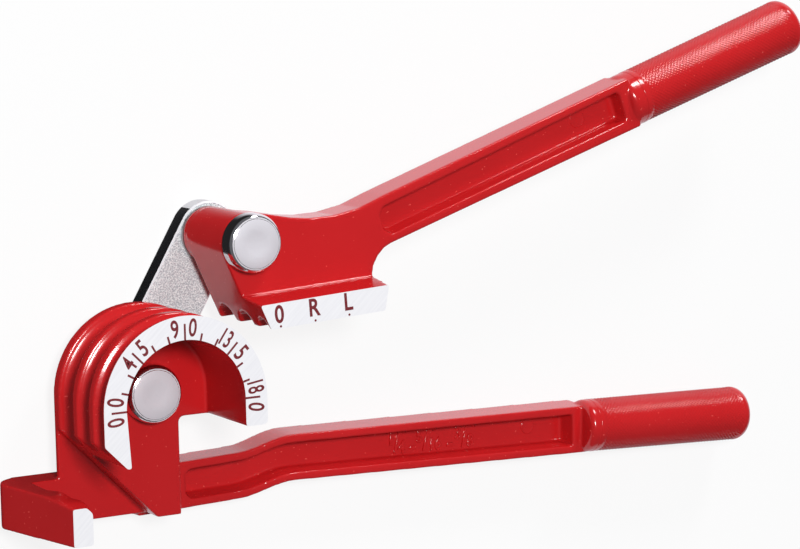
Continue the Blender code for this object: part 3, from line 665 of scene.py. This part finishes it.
# %% The stroke tree
strokes, entry, leaving = geometry_tree("arc_strokes", (
    ("Count", "Int", None), ("First Angle", "Float", None), ("Step", "Float", None),
    ("Inner Radius", "Float", RING_INNER), ("Length", "Float", 0.0046), ("Width", "Float", 0.0006),
    ("Height", "Float", 0.00006), ("Level", "Float", MILLED_LEVEL), ("Paint", "Material", None),
))
points = strokes.nodes.new("GeometryNodeMeshLine")
strokes.links.new(entry.outputs["Count"], points.inputs["Count"])
number = strokes.nodes.new("GeometryNodeInputIndex")
angle = math_node(strokes, "MULTIPLY", number.outputs["Index"], entry.outputs["Step"])
angle = math_node(strokes, "ADD", angle, entry.outputs["First Angle"])
reach = math_node(strokes, "MULTIPLY", entry.outputs["Length"], 0.5)
reach = math_node(strokes, "ADD", reach, entry.outputs["Inner Radius"])
spot = strokes.nodes.new("ShaderNodeCombineXYZ")
for side, operation in (("X", "COSINE"), ("Y", "SINE")):
    distance = math_node(strokes, "MULTIPLY", reach, math_node(strokes, operation, angle))
    strokes.links.new(distance, spot.inputs[side])
strokes.links.new(entry.outputs["Level"], spot.inputs["Z"])
spread = strokes.nodes.new("GeometryNodeSetPosition")
strokes.links.new(points.outputs["Mesh"], spread.inputs["Geometry"])
strokes.links.new(spot.outputs["Vector"], spread.inputs["Position"])
bar = strokes.nodes.new("GeometryNodeMeshCube")
size = strokes.nodes.new("ShaderNodeCombineXYZ")
strokes.links.new(entry.outputs["Length"], size.inputs["X"])
strokes.links.new(entry.outputs["Width"], size.inputs["Y"])
strokes.links.new(entry.outputs["Height"], size.inputs["Z"])
strokes.links.new(size.outputs["Vector"], bar.inputs["Size"])
turning = strokes.nodes.new("ShaderNodeCombineXYZ")
strokes.links.new(angle, turning.inputs["Z"])
copies = strokes.nodes.new("GeometryNodeInstanceOnPoints")
strokes.links.new(spread.outputs["Geometry"], copies.inputs["Points"])
strokes.links.new(bar.outputs["Mesh"], copies.inputs["Instance"])
strokes.links.new(turning.outputs["Vector"], copies.inputs["Rotation"])
close_tree(strokes, copies.outputs["Instances"], entry.outputs["Paint"], leaving)

# %% Strokes of the die's scale
LONG_STEP = math.pi / 4
SHORT_STEP = math.pi / 12
SHORT_STROKE = 0.0021


def stroke_mesh(name, **values):
    """Strokes on an arc, as a plain mesh."""
    holder = add_object(name, bpy.data.meshes.new(name))
    return run_tree(holder, strokes, name, Paint=engraving, **values)


dial_meshes = [stroke_mesh("long_strokes", Count=5, First_Angle=math.pi, Step=-LONG_STEP)]
for name, skipped in (("short_strokes_a", SHORT_STEP), ("short_strokes_b", SHORT_STEP * 2)):
    short = stroke_mesh(
        name, Count=4, First_Angle=math.pi - skipped, Step=-LONG_STEP, Length=SHORT_STROKE
    )
    dial_meshes.append(short)
print("strokes:", sum(len(mesh.polygons) // 6 for mesh in dial_meshes))


# %% Helpers for lettering
CAPITAL_SHARE = 0.7


def lettering(words, height, depth, matrix, material, narrow=0.72, bold=0.00012, soft=0.0):
    """Plain type as a thin solid, centred on its place."""
    curve = bpy.data.curves.new(words, "FONT")
    curve.body = words
    curve.size = height / CAPITAL_SHARE
    curve.align_x = "CENTER"
    curve.align_y = "CENTER"
    curve.extrude = depth / 2
    curve.offset = bold
    curve.bevel_depth = soft
    curve.bevel_resolution = 1
    curve.resolution_u = 5
    mesh = settled_mesh(add_object(words, curve), words)
    mesh.materials.clear()
    mesh.materials.append(material)
    shape = bmesh.new()
    shape.from_mesh(mesh)
    bmesh.ops.remove_doubles(shape, verts=shape.verts, dist=0.000002)
    shape.to_mesh(mesh)
    shape.free()
    mesh.transform(matrix @ Matrix.Diagonal((narrow, 1, 1, 1)))
    return mesh


def joined(name, meshes, material):
    """Several meshes as one object with one material."""
    shape = bmesh.new()
    for mesh in meshes:
        shape.from_mesh(mesh)
    whole = bpy.data.meshes.new(name)
    for face in shape.faces:
        face.material_index = 0
    shape.to_mesh(whole)
    shape.free()
    whole.materials.append(material)
    print(name, len(whole.polygons), "faces")
    return add_object(name, whole)


# %% Figures on the die
PAINT_DEPTH = 0.00006
FIGURE_HEIGHT = 0.0050
FIGURE_RADIUS = 0.0217
SINGLE_BREADTH = 0.72
PAIR_BREADTH = 0.6
figures = (
    ("0", -7.0), ("0", 7.8), ("4", 37.6), ("5", 53.0), ("9", 82.0), ("0", 96.5),
    ("13", 125.3), ("5", 142.6), ("18", 171.4), ("0", 187.4),
)
for words, bend in figures:
    breadth = SINGLE_BREADTH if len(words) == 1 else PAIR_BREADTH
    angle = math.pi - math.radians(bend)
    where = Vector((FIGURE_RADIUS * math.cos(angle), FIGURE_RADIUS * math.sin(angle), MILLED_LEVEL))
    upright = Matrix.Translation(where) @ Matrix.Rotation(angle - math.pi / 2, 4, "Z")
    dial_meshes.append(lettering(words, FIGURE_HEIGHT, PAINT_DEPTH, upright, engraving, narrow=breadth))
dial_figures = joined("dial_scale", dial_meshes, engraving)

# %% Marks on the shoe, each above its dot
MARK_HEIGHT = 0.0050
DOT_RADIUS = 0.00035
DOT_LEVEL = -0.0239
shoe_meshes = []
for words, along, level in (("0", 0.0030, -0.0206), ("R", 0.0143, -0.0203), ("L", 0.0256, -0.0203)):
    spot = LEVER_PLACE @ Matrix.Translation((along, level, MILLED_LEVEL))
    letter = lettering(words, MARK_HEIGHT, PAINT_DEPTH, spot, engraving, narrow=0.85, bold=0.00016)
    shoe_meshes.append(letter)
for along in (0.0032, 0.0145, 0.0257):
    spot = LEVER_PLACE @ Matrix.Translation((along, DOT_LEVEL, MILLED_LEVEL))
    dot = bmesh.new()
    bmesh.ops.create_cone(
        dot, cap_ends=True, segments=16, radius1=DOT_RADIUS, radius2=DOT_RADIUS, depth=PAINT_DEPTH,
        matrix=spot,
    )
    mesh = bpy.data.meshes.new("index_dot")
    dot.to_mesh(mesh)
    dot.free()
    mesh.materials.append(engraving)
    shoe_meshes.append(mesh)
shoe_figures = joined("shoe_scale", shoe_meshes, engraving)

# %% [markdown]
# ## Raised sizes in the pocket
# The three tube sizes stand up from the floor of the lower handle's pocket, cast in with it, so
# they take the same enamel.

# %% Raised sizes
POCKET_FLOOR = 0.0049
POCKET_TURN = -math.radians(1.75)
RAISED_BY = 0.0005
RAISED_ROUNDING = 0.0002
SIZE_SCALE = 1.35
size_meshes = []
for words, x, y, height in (
    ("1", 0.0886, -0.0263, 0.0030), ("/", 0.0907, -0.0280, 0.0048), ("4", 0.0924, -0.0294, 0.0030),
    ("\"", 0.0936, -0.0256, 0.0030), ("-", 0.0965, -0.0292, 0.0042),
    ("5", 0.0990, -0.0266, 0.0030), ("/", 0.1013, -0.0282, 0.0048), ("16", 0.1045, -0.0297, 0.0030),
    ("\"", 0.1046, -0.0260, 0.0030), ("-", 0.1100, -0.0297, 0.0042),
    ("3", 0.1132, -0.0271, 0.0030), ("/", 0.1156, -0.0288, 0.0048), ("8", 0.1177, -0.0301, 0.0030),
    ("\"", 0.1192, -0.0265, 0.0030),
):
    spot = Matrix.Translation((x, y, POCKET_FLOOR)) @ Matrix.Rotation(POCKET_TURN, 4, "Z")
    raised = lettering(
        words, height * SIZE_SCALE, RAISED_BY, spot, enamel, narrow=0.85, bold=0.0, soft=RAISED_ROUNDING
    )
    size_meshes.append(raised)
raised_sizes = joined("raised_sizes", size_meshes, enamel)


# %% Round marks that the ejector pins leave in both pockets
def pin_mark(name, centre, radius):
    """A thin round ridge with a hollow middle, as an ejector pin leaves."""
    profile = [
        (0, -0.0004), (radius + 0.0004, -0.0004), (radius + 0.0002, 0.00015), (radius, 0.00022),
        (radius - 0.0003, 0.00012), (radius - 0.0005, 0.00004), (0, 0.00004),
    ]
    mesh = turned_mesh(name, profile, 48)
    mesh.materials.append(enamel)
    mesh.transform(Matrix.Translation(centre))
    return add_object(name, mesh)


lower_pin = pin_mark("lower_pin_mark", (0.1394, -0.0278, POCKET_FLOOR), 0.0023)
upper_pin = pin_mark("upper_pin_mark", LEVER_PLACE @ Vector((0.1190, 0.0219, 0.0297)), 0.0025)
print("pin marks:", lower_pin.name, upper_pin.name)

# %% [markdown]
# ## Rivets
# Each rivet is turned steel: a satin flat, a polished rounded shoulder, and a straight side that
# sits on the casting. A profile with many steps keeps the bright ring round the shoulder clean.

# %% Rivets
FACE_RADIUS = 0.00725
HEAD_RADIUS = 0.00865
HEAD_HEIGHT = 0.0051
SHOULDER_HEIGHT = 0.0022
TAIL_RADIUS = 0.0070
TAIL_HEIGHT = 0.0005
SHANK_RADIUS = 0.0050
SMALL_CORNER = 0.0002
FACE_EDGE_DROP = 0.0001
FACE_EDGE_INSET = 0.00012
HOLLOW_DEPTH = 0.00005
HOLLOW_RIM = 0.45
HOLLOW_FLOOR = 0.42
FACE_DEPTH = 0.0003
TURNING_STEPS = 96


def rivet(name, node, seat, place):
    """A turned rivet from its peened tail to its flat head."""
    top = seat + HEAD_HEIGHT
    profile = [(0, 0), (TAIL_RADIUS - SMALL_CORNER, 0), (TAIL_RADIUS, SMALL_CORNER)]
    profile += [(TAIL_RADIUS, TAIL_HEIGHT), (SHANK_RADIUS, TAIL_HEIGHT), (SHANK_RADIUS, seat)]
    profile += [(HEAD_RADIUS - SMALL_CORNER, seat), (HEAD_RADIUS, seat + SMALL_CORNER)]
    profile += quarter_round(
        FACE_RADIUS, top - SHOULDER_HEIGHT, HEAD_RADIUS - FACE_RADIUS,
        SHOULDER_HEIGHT - FACE_EDGE_DROP,
    )
    profile += [(FACE_RADIUS - FACE_EDGE_INSET, top), (FACE_RADIUS * HOLLOW_RIM, top)]
    profile += [(FACE_RADIUS * HOLLOW_FLOOR, top - HOLLOW_DEPTH), (0, top - HOLLOW_DEPTH)]
    mesh = turned_mesh(name, profile, TURNING_STEPS)
    mesh.materials.append(polished)
    mesh.materials.append(satin)
    for polygon in mesh.polygons:
        if polygon.center.z > top - FACE_DEPTH and polygon.normal.z > 0.9:
            polygon.material_index = 1
    mesh.set_sharp_from_angle(angle=math.radians(40))
    mesh.transform(Matrix.Translation(place))
    made = add_object(name, mesh)
    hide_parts(node)
    print(name, len(mesh.polygons), "faces")
    return made


die_rivet = rivet("die_rivet", "die_pivot_rivet", 0.0195, (0, 0, 0))
lever_rivet = rivet("lever_rivet", "lever_pivot_rivet", 0.0350, LEVER_PIVOT)

# %% [markdown]
# ## The link
# The link is blanked from thick plate and its front corner is broken. A loft through four
# outlines gives that corner its own narrow strip, which takes its own bright finish. The rest of
# the edge is coloured by where it faces: near black towards the left, a painted dark reflection,
# and the bright finish elsewhere, a painted highlight.

# %% Link
PAINTED_LIT_FACING_LIMIT = -0.62
HALF_WIDTH = 0.0095
BREAK = 0.0005
PIVOT_DISTANCE = 0.0503
LINK_SHIFT = 0.0006
LINK_BACK = 0.0008
LINK_FRONT = 0.0074
ROUND_STEPS = 32
PAINTED_DARK_SIDE = 1
CORNER_AND_PAINTED_LIT_SIDE = 2


def link_outline(radius, level):
    """A stadium round both pivots."""
    points = []
    for centre, start in ((0, 90), (PIVOT_DISTANCE + LINK_SHIFT, -90)):
        for step in range(ROUND_STEPS + 1):
            angle = math.radians(start + 180 * step / ROUND_STEPS)
            points.append((centre + radius * math.cos(angle), radius * math.sin(angle) - LINK_SHIFT, level))
    return points


shape = bmesh.new()
rings = []
for level, inset in (
    (LINK_BACK, BREAK / 2), (LINK_BACK + BREAK / 2, 0), (LINK_FRONT - BREAK, 0), (LINK_FRONT, BREAK),
):
    rings.append([shape.verts.new(point) for point in link_outline(HALF_WIDTH - inset, level)])
for row, (lower, upper) in enumerate(zip(rings, rings[1:])):
    for step in range(len(lower)):
        following = (step + 1) % len(lower)
        face = shape.faces.new((lower[step], lower[following], upper[following], upper[step]))
        face.material_index = CORNER_AND_PAINTED_LIT_SIDE if row == 2 else PAINTED_DARK_SIDE
shape.faces.new(rings[-1])
back = shape.faces.new(rings[0])
back.material_index = PAINTED_DARK_SIDE
bmesh.ops.recalc_face_normals(shape, faces=shape.faces)
mesh = bpy.data.meshes.new("steel_link")
shape.to_mesh(mesh)
shape.free()
for material in (link_face, link_side, bright):
    mesh.materials.append(material)
# Painted light: edge faces turned away from the left take the bright finish as a painted highlight; those
# facing left keep the near-black painted dark reflection.
for polygon in mesh.polygons:
    across = polygon.normal.x * math.cos(LINK_TURN) - polygon.normal.y * math.sin(LINK_TURN)
    if polygon.material_index == PAINTED_DARK_SIDE and across > PAINTED_LIT_FACING_LIMIT:
        polygon.material_index = CORNER_AND_PAINTED_LIT_SIDE
mesh.shade_smooth()
mesh.set_sharp_from_angle(angle=math.radians(25))
mesh.transform(Matrix.Rotation(LINK_TURN, 4, "Z"))
steel_link = add_object("steel_link", mesh)
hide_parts("link_plate")
print("link", len(mesh.polygons), "faces")

# %% [markdown]
# ## What moves with what
# The lower handle stands still. The link turns about the die's rivet and carries the lever.

# %% Riding
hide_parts("lower_casting")
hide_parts("upper_casting")
for piece in (lower_cast, lower_grip, dial_figures, raised_sizes, lower_pin, die_rivet):
    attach(piece, "lower_handle")
for piece in (upper_cast, upper_grip, shoe_figures, upper_pin, lever_rivet):
    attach(piece, "upper_lever")
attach(steel_link, "link")
for name in ("die_pivot_washer", "lever_pivot_washer"):
    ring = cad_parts[name]
    ring.data.materials.clear()
    ring.data.materials.append(dull)
